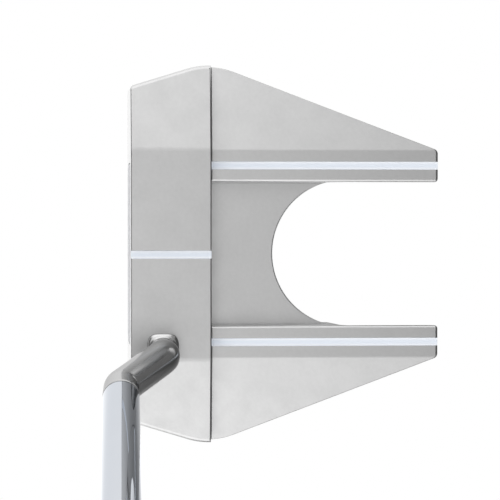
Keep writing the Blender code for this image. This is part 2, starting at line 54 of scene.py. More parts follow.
# Head plan and heights
FACE_TOP_Y = -11.7 * MM
BAR_REAR_Y = 12.25 * MM
SEAM_Y = 12.55 * MM
REAR_END_Y = 81.0 * MM
WIDEST_Y = 12.3 * MM
WIDEST_HALF = 57.62 * MM
WIDEST_RADIUS = 22.0 * MM
FRONT_FLARE = math.radians(17.2)
CREASE_X = 31.2 * MM
REAR_TAPER = math.atan((WIDEST_HALF - CREASE_X) / (REAR_END_Y - WIDEST_Y))
RAIL_X = 21.6 * MM
BALL_CENTRE_Y = 53.8 * MM
BALL_DRAFT = math.tan(math.radians(3.3))
DRAFT_START_Y = 49.0 * MM
FLOOR_HALF_X = 23.0 * MM
FLOOR_REAR_Y = 50.5 * MM
BAR_TOP_Z = 27.0 * MM
RAIL_TOP_Z = 18.6 * MM
FLOOR_TOP_Z = 10.0 * MM
CROWN_FALL = math.tan(math.radians(10.0))
LOFT = math.radians(2.0)
SOLE_RISE = math.radians(2.5)
SOLE_RISE_Y = 30.0 * MM

# Edge roundings; a bevel weight of 1 stands for the widest
WIDEST_ROUND = 1.5 * MM
BAR_FACE_EDGE = 0.4 * MM
BAR_SIDE_EDGE = 1.2 * MM
BAR_REAR_EDGE = 0.45 * MM
BAR_CREASE = 0.75 * MM
CORNER = 1.0 * MM
SOLE_EDGE = 0.8 * MM
WING_EDGE = 0.25 * MM
WING_END_EDGE = 0.75 * MM
RAIL_EDGE = 0.85 * MM
WING_CREASE = 0.3 * MM
CUT_OUT_EDGE = 0.5 * MM

# Relief cut along the foot of the channel's walls
RELIEF_WIDTH = 0.35 * MM
RELIEF_DEPTH = 0.5 * MM

# Painted lines
LINE_HALF = 1.15 * MM
LINE_DEPTH = 0.65 * MM
RAIL_LINE_X = 26.57 * MM
# Paint colours: a painted highlight at the line's edges and painted shade in its middle
PAINT_EDGE_HIGHLIGHT = (0.95, 0.97, 0.99)
PAINT_MIDDLE_SHADE = (0.86, 0.905, 0.965)

# Neck, shaft and grip
NECK_BASE = Vector((28.6, -2.2, 27.0)) * MM
NECK_BEND = Vector((28.8, -2.4, 47.0)) * MM
POST_RADIUS = 4.0 * MM
POST_GROWTH = 20.0 * MM
POST_SQUARENESS = 0.9
FLANGE_HALF_X = 5.3 * MM
FLANGE_HALF_Y = 4.7 * MM
FLANGE_POWER = 3.6
FLANGE_LIP = 1.2 * MM
FLANGE_ROUND = 0.9 * MM
FLANGE_HEIGHT = FLANGE_LIP + 2.0 * FLANGE_ROUND
SHOULDER_SHARE = 0.55
TENON_RADIUS = 4.0 * MM
NECK_BENDS = (15.0 * MM, 6.5 * MM)
BEND_STEPS = 14
LEG_STEPS = 6
LIE = math.radians(71.0)
RIM_CENTRE = Vector((37.7, -14.6, 76.0)) * MM
AXIS = Vector((math.cos(LIE), 0.0, math.sin(LIE)))
THUMB_SIDE = Vector((-math.sin(LIE), 0.0, math.cos(LIE)))
COLLAR_LENGTH = 6.6 * MM
TIP_RADIUS = 5.1 * MM
SPIGOT_RADIUS = 4.3 * MM
SPIGOT_LENGTH = 25.0 * MM
WALL = 0.5 * MM
BUTT = 864.0 * MM - RIM_CENTRE.z / AXIS.z - 3.3 * MM
STEP_COUNT = 9
STEP_HEIGHT = 0.25 * MM
STEP_START = 200.0 * MM
STEP_PITCH = 34.0 * MM
STEP_CONE = 2.0 * MM
GRIP_LENGTH = 264.0 * MM
GRIP_BORE = 7.95 * MM
GRIP_SEGMENTS = 112

# Insert
INSERT_WIDTH = 54.0 * MM
INSERT_HEIGHT = 19.0 * MM
INSERT_CORNER = 4.0 * MM
INSERT_THICKNESS = 3.6 * MM
INSERT_CENTRE_Z = 13.9 * MM
INSERT_LINES = 11

# Underside: plate, tongue, screws, weights and pockets
ROW_Y = -1.5 * MM
PLATE_HALF_X = 24.0 * MM
PLATE_REACH = 4.5 * MM
PLATE_THICKNESS = 5.0 * MM
PLATE_SCREW_X = (-20.0 * MM, -8.0 * MM, 8.0 * MM, 20.0 * MM)
TONGUE_HALF_X = 30.0 * MM
TONGUE_FRONT_Y = 5.2 * MM
TONGUE_THICKNESS = 4.0 * MM
TONGUE_SCREW_X = (-24.0 * MM, -8.0 * MM, 8.0 * MM, 24.0 * MM)
TONGUE_SCREW_Y = 8.725 * MM
PLATE_BORE = 1.55 * MM
SCREW_BORE = 1.8 * MM
SCREW_HEAD_BORE = 3.05 * MM
WEIGHT_X = 42.0 * MM
POCKET_X = 33.0 * MM
POCKET_Y = 31.0 * MM
POCKET_WIDTH = 16.0 * MM
POCKET_LENGTH = 28.0 * MM
POCKET_CORNER = 4.0 * MM
POCKET_DEPTH = 9.0 * MM

SIDES = (("toe", -1.0), ("heel", 1.0))
# Frame of the cuts from below, with Z pointing down
UNDER = Matrix.Rotation(math.pi, 4, "Y")

# Studio light: brightness by the X part of a direction, and by its Y part over its sideways spread
ACROSS = (
    (-1.0, 0.75), (-0.7, 0.76), (-0.38, 0.73), (-0.14, 0.555), (0.0, 0.505),
    (0.14, 0.6), (0.38, 0.83), (0.7, 0.83), (1.0, 0.78),
)
ALONG = (
    (-1.0, 0.12), (-0.8, 0.5), (-0.4, 1.0), (0.06, 1.0),
    (0.24, 0.74), (0.42, 0.2), (0.8, 0.3), (1.0, 0.07),
)
OVERHEAD_SPREAD = 0.36
# The floor's own glow, by the place along a slanting line, in shares of its span in metres
FLOOR_SPAN = 0.25
FLOOR_SLANT = (0.5, 1.0, 0.0)
FLOOR_GLOW = (
    (-0.52, 1.0), (-0.42, 1.1), (-0.3, 1.25), (0.0, 1.25),
    (0.15, 1.2), (0.23, 0.5), (0.28, 0.1), (1.0, 0.05),
)
LIGHT_STRENGTH = 2.31


# ---- mesh helpers


def new_object(name, data):
    made = bpy.data.objects.new(name, data)
    bpy.context.scene.collection.objects.link(made)
    return made


def finish_mesh(name, bm, mat=None, sharp=40.0):
    """Turn a bmesh into a smooth-shaded object; without a material it is a boolean's tool."""
    bmesh.ops.recalc_face_normals(bm, faces=bm.faces)
    mesh = bpy.data.meshes.new(name)
    bm.to_mesh(mesh)
    bm.free()
    piece = new_object(name, mesh)
    if mat is not None:
        mesh.materials.append(mat)
    mesh.shade_smooth()
    mesh.set_sharp_from_angle(angle=math.radians(sharp))
    return piece


def apply_modifiers(piece, sharp=None):
    """Replace the mesh with its evaluated one and drop the modifiers and their tools."""
    tools = [m.object for m in piece.modifiers if m.type == "BOOLEAN"]
    evaluated = piece.evaluated_get(bpy.context.evaluated_depsgraph_get())
    mesh = bpy.data.meshes.new_from_object(evaluated)
    piece.modifiers.clear()
    piece.data = mesh
    for tool in tools:
        bpy.data.objects.remove(tool, do_unlink=True)
    if sharp is not None:
        mesh.shade_smooth()
        mesh.set_sharp_from_angle(angle=math.radians(sharp))


def boolean(target, tool, operation="DIFFERENCE"):
    modifier = target.modifiers.new("boolean", "BOOLEAN")
    modifier.operation = operation
    modifier.solver = "EXACT"
    modifier.object = tool


def rounded_piece(name, bm, mat, width_of, segments=4):
    """Finish a mesh with bevelled edges; width_of gives an edge's rounding from its two ends."""
    bmesh.ops.recalc_face_normals(bm, faces=bm.faces)
    layer = bm.edges.layers.float.new("bevel_weight_edge")
    for edge in bm.edges:
        if len(edge.link_faces) == 2 and edge.calc_face_angle(0.0) > math.radians(4.0):
            edge[layer] = width_of(edge.verts[0].co, edge.verts[1].co) / WIDEST_ROUND
    piece = finish_mesh(name, bm, mat)
    modifier = piece.modifiers.new("bevel", "BEVEL")
    modifier.width = WIDEST_ROUND
    modifier.segments = segments
    modifier.limit_method = "WEIGHT"
    modifier.use_clamp_overlap = False
    return piece


def settle(piece):
    """Apply the cuts, then even out the shading of the flat faces round them."""
    apply_modifiers(piece, sharp=32.0)
    modifier = piece.modifiers.new("normals", "WEIGHTED_NORMAL")
    modifier.keep_sharp = True
    modifier.weight = 100
    apply_modifiers(piece)


def skin(rings, closed=False):
    """Bmesh through equal rings of points; a closed list makes a tube wall, an open one gets caps."""
    bm = bmesh.new()
    rows = [[bm.verts.new(point) for point in ring] for ring in rings]
    pairs = list(zip(rows, rows[1:]))
    if closed:
        pairs.append((rows[-1], rows[0]))
    for lower, upper in pairs:
        for i in range(len(lower)):
            j = (i + 1) % len(lower)
            bm.faces.new((lower[i], lower[j], upper[j], upper[i]))
    if not closed:
        bm.faces.new(rows[0])
        bm.faces.new(rows[-1])
    return bm


def turns(segments):
    return [math.tau * i / segments for i in range(segments)]


def axis_frame(origin, direction, sideways):
    z = direction.normalized()
    x = (sideways - z * sideways.dot(z)).normalized()
    return Matrix.Translation(origin) @ Matrix((x, z.cross(x), z)).transposed().to_4x4()


def turned(name, profile, mat=None, place=Matrix(), segments=96, closed=False, sharp=40.0):
    """Turn (radius, height) pairs about the frame's Z; a radius may be a function of the angle."""
    rings = []
    for radius, height in profile:
        ring = []
        for angle in turns(segments):
            r = radius(angle) if callable(radius) else radius
            ring.append(place @ Vector((r * math.cos(angle), r * math.sin(angle), height)))
        rings.append(ring)
    return finish_mesh(name, skin(rings, closed), mat, sharp)


def prism(name, outline, low, high, place=Matrix(), flare=0.0):
    """Extrude a convex outline; a flare widens it towards high, as a rounding, and runs on past it."""
    levels = [(low, 0.0)]
    if flare > 0.0:
        for angle in between(0.0, math.pi / 2, 4):
            levels.append((high - flare + flare * math.sin(angle), flare * (1.0 - math.cos(angle))))
        levels.append((high + OVER, flare))
    else:
        levels.append((high, 0.0))
    return finish_mesh(name, skin(stack(outline, levels, place)))


def stack(outline, levels, place=Matrix()):
    """Rings from one outline; a level is a height and how far the outline grows there."""
    return [[place @ Vector((x, y, z)) for x, y in offset_outline(outline, grow)] for z, grow in levels]


def offset_outline(outline, grow):
    """Move a convex anticlockwise outline's points outward, between their two edge normals."""
    moved = []
    for i, point in enumerate(outline):
        here = Vector(point)
        before = here - Vector(outline[i - 1])
        after = Vector(outline[(i + 1) % len(outline)]) - here
        n0 = Vector((before.y, -before.x)).normalized()
        n1 = Vector((after.y, -after.x)).normalized()
        mean = (n0 + n1).normalized()
        moved.append(tuple(here + mean * grow / mean.dot(n0)))
    return moved


def rectangle(x0, x1, y0, y1):
    return [(x0, y0), (x1, y0), (x1, y1), (x0, y1)]


def rounded_rectangle(width, height, radius, steps=8):
    points = []
    for quarter, (sx, sy) in enumerate(((1, 1), (-1, 1), (-1, -1), (1, -1))):
        for i in range(steps + 1):
            angle = math.pi / 2 * (quarter + i / steps)
            x = sx * (width / 2 - radius) + radius * math.cos(angle)
            y = sy * (height / 2 - radius) + radius * math.sin(angle)
            points.append((x, y))
    return points


def smooth_step(t):
    t = min(max(t, 0.0), 1.0)
    return t * t * (3.0 - 2.0 * t)


def near(a, b, tolerance=0.05 * MM):
    return abs(a - b) < tolerance


# ---- materials


def set_inputs(node, **values):
    """Set a node's inputs; an underscore in a name stands for a space."""
    for name, value in values.items():
        node.inputs[name.replace("_", " ")].default_value = value
    return node


def new_node(tree, kind, *sources, operation=None):
    """Node whose first inputs come from the sources, in order."""
    node = tree.nodes.new(kind)
    if operation is not None:
        node.operation = operation
    for source, socket in zip(sources, node.inputs):
        tree.links.new(source, socket)
    return node


class Shader:
    """A Principled material whose looks come from noise in object space."""

    def __init__(self, name, metallic, roughness, colour):
        self.material = bpy.data.materials.new(name)
        self.material.use_nodes = True
        self.tree = self.material.node_tree
        self.link = self.tree.links.new
        self.shader = self.tree.nodes["Principled BSDF"]
        self.set(Metallic=metallic, Roughness=roughness, Base_Color=(*colour, 1.0))
        self.coordinates = self.tree.nodes.new("ShaderNodeTexCoord").outputs["Object"]
        self.normal = None

    def set(self, **values):
        set_inputs(self.shader, **values)

    def noise(self, scale, detail=2.0, stretch=None):
        """Noise whose scale is in features per metre; stretch squeezes it along an axis."""
        source = self.coordinates
        if stretch is not None:
            mapping = set_inputs(new_node(self.tree, "ShaderNodeMapping", source), Scale=stretch)
            source = mapping.outputs["Vector"]
        node = new_node(self.tree, "ShaderNodeTexNoise", source)
        return set_inputs(node, Scale=scale, Detail=detail).outputs["Fac"]

    def spread(self, factor, low, high):
        """Map the noise's middle range onto low..high."""
        node = new_node(self.tree, "ShaderNodeMapRange", factor)
        set_inputs(node, From_Min=0.25, From_Max=0.75, To_Min=low, To_Max=high)
        return node.outputs["Result"]

    def tint(self, factor, dark, light):
        """Colour the surface between dark and light."""
        ramp = new_node(self.tree, "ShaderNodeValToRGB", factor)
        for element, position, colour in zip(ramp.color_ramp.elements, (0.25, 0.75), (dark, light)):
            element.position = position
            element.color = (*colour, 1.0)
        self.link(ramp.outputs["Color"], self.shader.inputs["Base Color"])
        return ramp

    def roughen(self, factor, low, high):
        self.link(self.spread(factor, low, high), self.shader.inputs["Roughness"])

    def bump(self, factor, height):
        """Raise the surface by the factor; bumps added later stack on the earlier ones."""
        node = set_inputs(self.tree.nodes.new("ShaderNodeBump"), Strength=1.0, Distance=height)
        self.link(factor, node.inputs["Height"])
        if self.normal is not None:
            self.link(self.normal, node.inputs["Normal"])
        self.normal = node.outputs["Normal"]
        self.link(self.normal, self.shader.inputs["Normal"])


def grey(value):
    return (value, value, value)


def blasted_metal(name, value, low, high):
    """Bead-blasted aluminium: a fine even grain with faint cloudy patches."""
    look = Shader(name, 1.0, (low + high) / 2, grey(value))
    look.tint(look.noise(900.0, 3.0), grey(value * 0.975), grey(value * 1.02))
    look.roughen(look.noise(160.0, 3.0), low, high)
    look.bump(look.noise(1900.0, 2.0), 0.005 * MM)
    return look.material


def satin_steel(name, value, low, high, stretch):
    """Polished along one direction, with fine lines."""
    look = Shader(name, 1.0, (low + high) / 2, grey(value))
    look.tint(look.noise(120.0, 4.0), grey(value * 0.94), grey(value * 1.05))
    look.roughen(look.noise(2500.0, 3.0, stretch), low, high)
    look.bump(look.noise(3000.0, 2.0, stretch), 0.006 * MM)
    return look.material


def polished_steel(name, value, low, high):
    """Smooth steel with slow variations and a trace of polishing marks."""
    look = Shader(name, 1.0, (low + high) / 2, grey(value))
    look.tint(look.noise(90.0, 4.0), grey(value * 0.96), grey(value * 1.04))
    look.roughen(look.noise(260.0, 3.0), low, high)
    look.bump(look.noise(700.0, 2.0), 0.0015 * MM)
    look.set(Specular_Tint=(0.6, 0.6, 0.6, 1.0))
    return look.material


def chrome_plate():
    look = Shader("chrome_plate", 1.0, 0.05, (0.53, 0.545, 0.57))
    look.tint(look.noise(60.0, 3.0), (0.52, 0.535, 0.56), (0.54, 0.555, 0.58))
    look.set(Specular_Tint=(0.74, 0.76, 0.79, 1.0))
    look.roughen(look.noise(400.0, 4.0), 0.012, 0.03)
    look.bump(look.noise(90.0, 2.0), 0.003 * MM)
    return look.material


def line_paint():
    """Gloss paint with a painted highlight along both edges, painted shade down the middle and a faint
    painted glow; its own X runs across the line.
    """
    look = Shader("line_paint", 0.0, 0.4, (0.93, 0.955, 0.985))
    across = new_node(look.tree, "ShaderNodeSeparateXYZ", look.coordinates)
    place = new_node(look.tree, "ShaderNodeMapRange", across.outputs["X"])
    set_inputs(place, From_Min=-LINE_HALF, From_Max=LINE_HALF)
    # Painted highlight towards both edges of the line and painted shade in its middle, set by the place
    # across it
    ramp = look.tint(place.outputs["Result"], PAINT_EDGE_HIGHLIGHT, PAINT_EDGE_HIGHLIGHT)
    for element, position in zip(ramp.color_ramp.elements, (0.08, 0.92)):
        element.position = position
    for position in (0.38, 0.62):
        ramp.color_ramp.elements.new(position).color = (*PAINT_MIDDLE_SHADE, 1.0)
    # A faint bluish glow painted into the paint to brighten it: painted light, since the paint is no lamp
    look.set(Emission_Color=(0.7, 0.8, 1.0, 1.0), Emission_Strength=0.15)
    look.roughen(look.noise(300.0, 3.0), 0.35, 0.5)
    look.bump(look.noise(700.0, 3.0), 0.02 * MM)
    return look.material


def moulded_rubber(name, value, height):
    look = Shader(name, 0.0, 0.7, grey(value))
    look.tint(look.noise(220.0, 4.0), grey(value * 0.8), grey(value * 1.25))
    look.roughen(look.noise(350.0, 3.0), 0.62, 0.82)
    look.bump(look.noise(1600.0, 3.0), height)
    return look.material


def speckled_polymer():
    look = Shader("insert_polymer", 0.0, 0.4, (0.55, 0.56, 0.58))
    look.tint(look.noise(650.0, 5.0), (0.48, 0.49, 0.51), (0.60, 0.61, 0.63))
    look.roughen(look.noise(300.0, 3.0), 0.34, 0.5)
    look.bump(look.noise(1400.0, 2.0), 0.01 * MM)
    look.set(Subsurface_Weight=0.08, Subsurface_Radius=(0.002, 0.002, 0.002))
    return look.material


def tape():
    look = Shader("adhesive_tape", 0.0, 0.75, (0.62, 0.52, 0.33))
    look.tint(look.noise(400.0, 5.0, (1.0, 6.0, 1.0)), (0.52, 0.43, 0.26), (0.68, 0.58, 0.38))
    look.bump(look.noise(900.0, 3.0, (1.0, 6.0, 1.0)), 0.03 * MM)
    return look.material


# ---- head


def corner_arc():
    """Centre and tangent points of the rounding at the head's widest place."""
    forward = Vector((math.sin(FRONT_FLARE), math.cos(FRONT_FLARE)))
    backward = Vector((-math.sin(REAR_TAPER), math.cos(REAR_TAPER)))
    apex = Vector((WIDEST_HALF, WIDEST_Y))
    tangent = WIDEST_RADIUS * math.tan((FRONT_FLARE + REAR_TAPER) / 2)
    start = apex - forward * tangent
    end = apex + backward * tangent
    return start + Vector((-forward.y, forward.x)) * WIDEST_RADIUS, start, end


ARC_CENTRE, ARC_START, ARC_END = corner_arc()


def half_width(y):
    if y < ARC_START.y:
        return WIDEST_HALF - (WIDEST_Y - y) * math.tan(FRONT_FLARE)
    if y > ARC_END.y:
        return WIDEST_HALF - (y - WIDEST_Y) * math.tan(REAR_TAPER)
    return ARC_CENTRE.x + math.sqrt(WIDEST_RADIUS**2 - (y - ARC_CENTRE.y) ** 2)


def between(start, end, count):
    return [start + (end - start) * i / count for i in range(count + 1)]


def wall(bm, low, high):
    """Faces between two equal lines of vertices."""
    for i in range(len(low) - 1):
        bm.faces.new((low[i], low[i + 1], high[i + 1], high[i]))


def crown(plateau_z, x):
    return plateau_z - max(0.0, abs(x) - CREASE_X) * CROWN_FALL


def face_y(z):
    return FACE_TOP_Y - (BAR_TOP_Z - z) * math.tan(LOFT)


def raise_sole(bm):
    """Trim the underside along the plane that rises towards the rear."""
    cut = bmesh.ops.bisect_plane(
        bm,
        geom=[*bm.verts, *bm.edges, *bm.faces],
        plane_co=(0.0, SOLE_RISE_Y, 0.0),
        plane_no=(0.0, math.sin(SOLE_RISE), -math.cos(SOLE_RISE)),
        clear_outer=True,
        dist=1e-7,
    )
    edges = [item for item in cut["geom_cut"] if isinstance(item, bmesh.types.BMEdge)]
    bmesh.ops.holes_fill(bm, edges=[e for e in edges if len(e.link_faces) < 2])


def flank(bm, side, stations, plateau_z):
    """Lower and upper lines of vertices along the head's outside."""
    low = []
    high = []
    for y in stations:
        x = half_width(y)
        low.append(bm.verts.new((side * x, y, 0.0)))
        high.append(bm.verts.new((side * x, y, crown(plateau_z, x))))
    return low, high


def bar_mesh():
    """The face block before its cuts: flat plateau, two falling shoulders, lofted face."""
    bm = bmesh.new()
    stations = between(ARC_START.y, BAR_REAR_Y, 12)
    sides = {}
    for side in (1.0, -1.0):
        top_x = half_width(face_y(crown(BAR_TOP_Z, WIDEST_HALF)))
        top_z = crown(BAR_TOP_Z, top_x)
        face_low = bm.verts.new((side * half_width(face_y(0.0)), face_y(0.0), 0.0))
        face_high = bm.verts.new((side * top_x, face_y(top_z), top_z))
        low, high = flank(bm, side, stations, BAR_TOP_Z)
        low.insert(0, face_low)
        high.insert(0, face_high)
        crease = [bm.verts.new((side * CREASE_X, y, BAR_TOP_Z)) for y in (FACE_TOP_Y, BAR_REAR_Y)]
        sides[side] = (low, high, crease)
        wall(bm, low, high)
        bm.faces.new([crease[0], *high, crease[1]])
    heel_low, heel_high, heel_crease = sides[1.0]
    toe_low, toe_high, toe_crease = sides[-1.0]
    bm.faces.new((heel_crease[0], heel_crease[1], toe_crease[1], toe_crease[0]))
    bm.faces.new([*heel_low, *reversed(toe_low)])
    outline = (heel_low, heel_high, heel_crease, toe_crease, toe_high, toe_low)
    for end in (0, -1):
        bm.faces.new([line[end] for line in outline])
    return bm


def bar_rounding(a, b):
    if near(abs(a.x), CREASE_X) and near(a.x, b.x):
        return BAR_CREASE
    at_seam = near(a.y, BAR_REAR_Y) and near(b.y, BAR_REAR_Y)
    if near(a.z, 0.0) and near(b.z, 0.0):
        return 0.0 if at_seam else SOLE_EDGE
    if near(a.z, 0.0) or near(b.z, 0.0):
        return CORNER if min(a.y, b.y) < FACE_TOP_Y else 0.0
    if max(a.y, b.y) < FACE_TOP_Y + 0.05 * MM:
        return BAR_FACE_EDGE
    return BAR_REAR_EDGE if at_seam else BAR_SIDE_EDGE


def inner_foot_x(y):
    """Foot of the wing's inner wall: upright along the channel, drafted past the ball's middle."""
    share = min(max((y - DRAFT_START_Y) / (BALL_CENTRE_Y - DRAFT_START_Y), 0.0), 1.0)
    return RAIL_X + share * RAIL_TOP_Z * BALL_DRAFT


def wing_mesh(side):
    """One wing before its cuts, from the seam to the blunt rear end."""
    bm = bmesh.new()
    stations = [*between(SEAM_Y, ARC_END.y, 8), REAR_END_Y]
    outer_low, outer_high = flank(bm, side, stations, RAIL_TOP_Z)
    inner_low = []
    inner_high = []
    for y in (SEAM_Y, DRAFT_START_Y, BALL_CENTRE_Y, REAR_END_Y):
        inner_low.append(bm.verts.new((side * inner_foot_x(y), y, 0.0)))
        inner_high.append(bm.verts.new((side * RAIL_X, y, RAIL_TOP_Z)))
    crease = bm.verts.new((side * CREASE_X, SEAM_Y, RAIL_TOP_Z))
    wall(bm, outer_low, outer_high)
    wall(bm, inner_low, inner_high)
    bm.faces.new([crease, *outer_high])
    bm.faces.new([crease, outer_high[-1], *reversed(inner_high)])
    bm.faces.new([*outer_low, *reversed(inner_low)])
    bm.faces.new((inner_low[0], inner_high[0], crease, outer_high[0], outer_low[0]))
    bm.faces.new((inner_low[-1], inner_high[-1], outer_high[-1], outer_low[-1]))
    bmesh.ops.recalc_face_normals(bm, faces=bm.faces)
    raise_sole(bm)
    return bm


def wing_rounding(a, b):
    inner = abs(a.x) < RAIL_X + 1.2 * MM and abs(b.x) < RAIL_X + 1.2 * MM
    end = near(a.y, REAR_END_Y) and near(b.y, REAR_END_Y)
    top = a.z > RAIL_TOP_Z / 2 and b.z > RAIL_TOP_Z / 2
    if near(a.y, SEAM_Y) and near(b.y, SEAM_Y):
        return WING_EDGE if top else 0.0
    if end and top:
        return WING_END_EDGE
    if end and (a.z > RAIL_TOP_Z / 2 or b.z > RAIL_TOP_Z / 2):
        return CORNER
    if inner and top:
        return RAIL_EDGE
    if near(a.z, RAIL_TOP_Z) and near(b.z, RAIL_TOP_Z):
        return WING_CREASE
    if top:
        return WING_EDGE
    if abs(a.z - b.z) >= 3 * MM:
        return 0.0
    if inner:
        return WING_EDGE if min(a.y, b.y) > BALL_CENTRE_Y - 0.1 * MM else 0.0
    return SOLE_EDGE


def floor_mesh():
    """The channel's floor, ending in the ball's half circle; its sides run into the wings."""
    rings = []
    front = SEAM_Y + HAIR
    steps = 96
    for z in (0.0, FLOOR_TOP_Z):
        radius = RAIL_X + (RAIL_TOP_Z - z) * BALL_DRAFT + 0.2 * MM
        last = math.acos((FLOOR_REAR_Y - BALL_CENTRE_Y) / radius) - math.pi / 2
        points = [(-FLOOR_HALF_X, front), (FLOOR_HALF_X, front), (FLOOR_HALF_X, FLOOR_REAR_Y)]
        for i in range(steps + 1):
            angle = -last - (math.pi - 2 * last) * i / steps
            points.append((radius * math.cos(angle), BALL_CENTRE_Y + radius * math.sin(angle)))
        points.append((-FLOOR_HALF_X, FLOOR_REAR_Y))
        rings.append([(x, y, z) for x, y in points])
    bm = skin(rings)
    bmesh.ops.recalc_face_normals(bm, faces=bm.faces)
    raise_sole(bm)
    for vert in bm.verts:
        if vert.co.z < FLOOR_TOP_Z - MM:
            vert.co.z += HAIR
    return bm


def floor_rounding(a, b):
    level = abs(a.z - b.z) < 0.5 * MM
    on_arc = min(a.y, b.y) > SOLE_RISE_Y and max(abs(a.x), abs(b.x)) < FLOOR_HALF_X - 0.1 * MM
    return CUT_OUT_EDGE if level and on_arc else 0.0


def groove(x, top_z, y0, y1):
    """Cutter for a painted line, with slightly eased top edges."""
    ease = 0.1 * MM
    half = [(LINE_HALF + ease, OVER), (LINE_HALF + ease, 0.0), (LINE_HALF, -ease), (LINE_HALF, -LINE_DEPTH)]
    section = [(-across, z) for across, z in half] + half[::-1]
    rings = [[(x + across, y, top_z + z) for across, z in section] for y in (y0 - OVER, y1 + OVER)]
    return finish_mesh("groove", skin(rings))


def line_strip(name, x, top_z, y0, y1, mat):
    """Paint in a groove: it climbs the walls and sags in the middle."""
    gap = 0.01 * MM
    half = LINE_HALF - gap
    section = [(half, gap - LINE_DEPTH), (-half, gap - LINE_DEPTH)]
    for u in between(-1.0, 1.0, 12):
        section.append((half * u, -0.04 * MM - 0.3 * MM * (1.0 - u**4)))
    count = max(2, int((y1 - y0) / MM))
    rings = [[(across, y, z) for across, z in section] for y in between(y0, y1, count)]
    strip = finish_mesh(name, skin(rings), mat, sharp=60.0)
    strip.location = (x, 0.0, top_z)
    return strip


def hexagon(apothem):
    sector = math.radians(60.0)
    return lambda angle: apothem / math.cos((angle % sector) - sector / 2)


def bore(target, x, y, rows, lead=0.0):
    """Cut a counterbored hole into the target from below, with a small lead-in."""
    mouth = rows[0][0] + lead
    start = [(mouth, -OVER)]
    if lead > 0.0:
        start += [(mouth, 0.0), (mouth - lead, lead)]
    boolean(target, turned("hole", [*start, *rows], place=upward(x, y), segments=64))


def socket_screw(name, place, head_radius, head_height, shank_radius, shank_length, mat):
    """Low-headed screw with an eased rim and a hexagonal socket; Z runs from head to tip."""
    flat = head_radius * 0.48
    depth = head_height * 0.6
    ease = head_radius * 0.09
    profile = [
        (hexagon(flat * 0.55), depth + 0.18 * MM),
        (hexagon(flat * 0.97), depth),
        (hexagon(flat), ease),
        (hexagon(flat * 1.07), 0.0),
        (head_radius * 0.66, 0.0),
        (head_radius * 0.70, ease * 0.4),
        (head_radius * 0.75, ease * 0.4),
        (head_radius * 0.79, 0.0),
        (head_radius - ease, 0.0),
        (head_radius - ease * 0.3, ease * 0.3),
        (head_radius, ease),
        (head_radius, head_height - ease * 0.3),
        (head_radius - ease * 0.3, head_height),
        (shank_radius, head_height),
    ]
    pitch = shank_radius * 0.28
    for i in range(int((shank_length - 2 * pitch) / pitch)):
        z = head_height + pitch * (i + 0.6)
        profile += [(shank_radius, z), (shank_radius * 0.86, z + pitch * 0.5)]
    profile += [
        (shank_radius, head_height + shank_length - shank_radius * 0.4),
        (shank_radius * 0.7, head_height + shank_length),
    ]
    return turned(name, profile, mat, place, segments=72, sharp=35.0)


def upward(x, y, z=0.0):
    return Matrix.Translation((x, y, z))


def narrowing(head, seat, shank, depth):
    """Profile of a hole whose wide part ends at the seat and whose narrow part ends at the depth."""
    return [(head, seat), (shank, seat), (shank, depth)]


def face_frame(depth):
    """Frame on the lofted face, sunk by the depth, with Z pointing out of the face."""
    outward = Vector((0.0, -math.cos(LOFT), math.sin(LOFT)))
    middle = Vector((0.0, face_y(INSERT_CENTRE_Z), INSERT_CENTRE_Z))
    return axis_frame(middle - outward * depth, outward, Vector((1.0, 0.0, 0.0)))


def build_bar(metal):
    """Face block with its line groove, insert pocket, plate pocket, tongue recess and holes."""
    bar = rounded_piece("front_body_skin", bar_mesh(), metal, bar_rounding, 6)
    boolean(bar, groove(0.0, BAR_TOP_Z, FACE_TOP_Y, BAR_REAR_Y))
    depth = INSERT_THICKNESS + 2 * FIT
    outline = rounded_rectangle(INSERT_WIDTH + 2 * FIT, INSERT_HEIGHT + 2 * FIT, INSERT_CORNER + FIT)
    boolean(bar, prism("insert_pocket", outline, 0.0, depth, place=face_frame(depth), flare=0.25 * MM))
    reach = PLATE_REACH + FIT
    plate = rectangle(-PLATE_HALF_X - FIT, PLATE_HALF_X + FIT, ROW_Y - reach, ROW_Y + reach)
    boolean(bar, prism("plate_pocket", plate, -PLATE_THICKNESS - FIT, 0.0, place=UNDER, flare=FIT))
    tongue = rectangle(-TONGUE_HALF_X - FIT, TONGUE_HALF_X + FIT, TONGUE_FRONT_Y - FIT, BAR_REAR_Y + OVER)
    boolean(bar, prism("tongue_recess", tongue, -TONGUE_THICKNESS - FIT, OVER, place=UNDER))
    for x in PLATE_SCREW_X:
        bore(bar, x, ROW_Y, [(PLATE_BORE, 4.0 * MM), (PLATE_BORE, 9.2 * MM)])
    for x in TONGUE_SCREW_X:
        bore(bar, x, TONGUE_SCREW_Y, [(SCREW_BORE, 4.0 * MM), (SCREW_BORE, 11.6 * MM)])
    rows = narrowing(8.0 * MM, 6.7 * MM, 4.8 * MM, 13.0 * MM)
    for _, side in SIDES:
        bore(bar, side * WEIGHT_X, ROW_Y, rows, lead=0.4 * MM)
    rows = [(TENON_RADIUS + FIT, 14.0 * MM), (TENON_RADIUS + FIT, BAR_TOP_Z + OVER)]
    boolean(bar, turned("neck_socket", rows, place=upward(NECK_BASE.x, NECK_BASE.y)))
    rows = narrowing(SCREW_HEAD_BORE, 8.8 * MM, SCREW_BORE, 15.0 * MM)
    bore(bar, NECK_BASE.x, NECK_BASE.y, rows, lead=0.3 * MM)
    settle(bar)
    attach(bar, "club")
    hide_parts("front_body")


